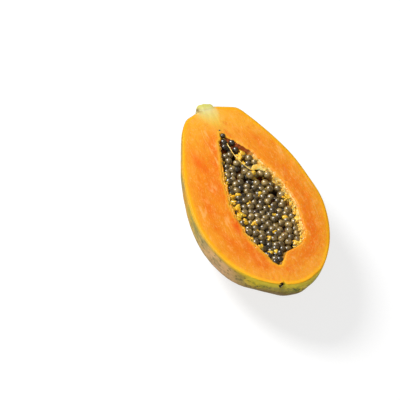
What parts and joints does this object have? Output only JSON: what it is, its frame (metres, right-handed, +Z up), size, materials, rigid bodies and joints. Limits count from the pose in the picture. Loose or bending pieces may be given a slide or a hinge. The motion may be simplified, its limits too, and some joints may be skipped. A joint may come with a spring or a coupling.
{
  "type": "papaya half",
  "caption": "Half of a small papaya cut lengthwise, lying on its rounded back, with the seed cavity filled with seeds and a stub of stem.",
  "frame": {"origin": "middle of the half's footprint, on the surface it lies on", "axes": "+X from the stem to the blossom end, +Y across the cut face, +Z straight up out of the cut face"},
  "size_m": [0.174, 0.1058, 0.0486],
  "materials": {
    "flesh_and_skin": "satin",
    "placenta": "satin",
    "seeds": "gloss",
    "stem": "matte"
  },
  "bodies": {
    "root": {"fruit_half": "flesh_and_skin", "placenta": "placenta", "seeds": "seeds", "stem_stub": "stem"}
  },
  "joints": []
}
